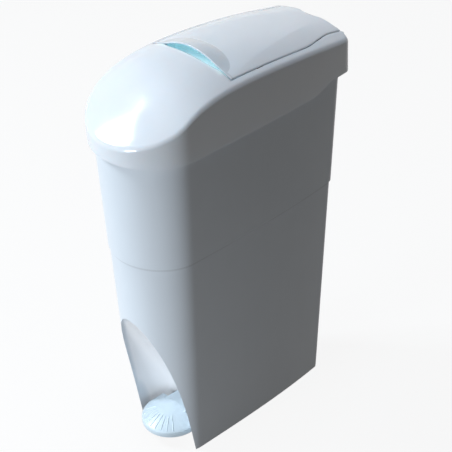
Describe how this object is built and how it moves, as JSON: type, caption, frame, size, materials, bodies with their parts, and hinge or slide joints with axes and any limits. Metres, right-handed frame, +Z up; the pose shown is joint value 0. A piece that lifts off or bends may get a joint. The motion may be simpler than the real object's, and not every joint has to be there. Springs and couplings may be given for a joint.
{
  "type": "sanitary container",
  "caption": "Tapered pedal-operated sanitary container with a lift-off hood, a hinged flap with a finger lip and a hanging modesty tray, a toe recess, a pedal lever and a push rod.",
  "frame": {"origin": "on the floor, at the middle of the width, a little behind the middle of the base plate's front edge, where the container stands", "axes": "+Z up, -Y towards the toe recess and the pedal, +X to the right of someone who faces along +Y, X = 0 is the plane of symmetry"},
  "size_m": [0.16, 0.3427, 0.5423],
  "materials": {
    "hood_plastic": "glossy moulded plastic",
    "body_plastic": "fine satin moulded plastic",
    "inner_plastic": "satin moulded plastic",
    "pedal_plastic": "satin moulded plastic",
    "base_plastic": "matt moulded plastic",
    "nylon": "natural nylon",
    "rubber": "matt rubber",
    "steel": "bright drawn steel"
  },
  "bodies": {
    "container": {"body": "body_plastic", "liner_ring": "inner_plastic", "rod_tube": "inner_plastic", "tube_clip_lower": "nylon", "tube_clip_upper": "nylon", "clip_screw_lower_left": "steel", "clip_screw_lower_right": "steel", "clip_screw_upper_left": "steel", "clip_screw_upper_right": "steel", "pedal_axle": "steel", "axle_bearing_left": "nylon", "axle_bearing_right": "nylon", "bearing_screw_left": "steel", "bearing_screw_right": "steel", "arm_buffer": "rubber", "base_plate": "base_plastic", "plate_screw_1": "steel", "plate_screw_2": "steel", "plate_screw_3": "steel", "plate_screw_4": "steel"},
    "hood": {"hood": "hood_plastic", "flap_hinge_pin": "steel", "hinge_bush_left": "nylon", "hinge_bush_right": "nylon", "flap_buffer_left": "rubber", "flap_buffer_right": "rubber"},
    "flap": {"flap": "hood_plastic", "modesty_tray": "inner_plastic", "tray_screw_left": "steel", "tray_screw_right": "steel"},
    "rod": {"push_rod": "steel", "rod_tip": "nylon", "rod_foot": "nylon"},
    "pedal": {"pedal": "pedal_plastic"}
  },
  "joints": [
    {"name": "hood_lift", "type": "slide", "parent": "container", "child": "hood", "axis": [0, 0, 1], "range_m": [0, 0.14]},
    {"name": "flap_hinge", "type": "hinge", "parent": "hood", "child": "flap", "pos_m": [0, 0.148, 0.5], "axis": [-1, 0, 0], "range_deg": [0, 60]},
    {"name": "rod_slide", "type": "slide", "parent": "container", "child": "rod", "axis": [0, 0, 1], "range_m": [0, 0.0263]},
    {"name": "pedal_hinge", "type": "hinge", "parent": "container", "child": "pedal", "pos_m": [0, -0.045, 0.032], "axis": [1, 0, 0], "range_deg": [0, 9.12]}
  ],
  "couplings": [
    {"joint": "rod_slide", "follows": "flap_hinge", "m_per_rad": 0.02503},
    {"joint": "pedal_hinge", "follows": "flap_hinge", "ratio": 0.15156}
  ]
}
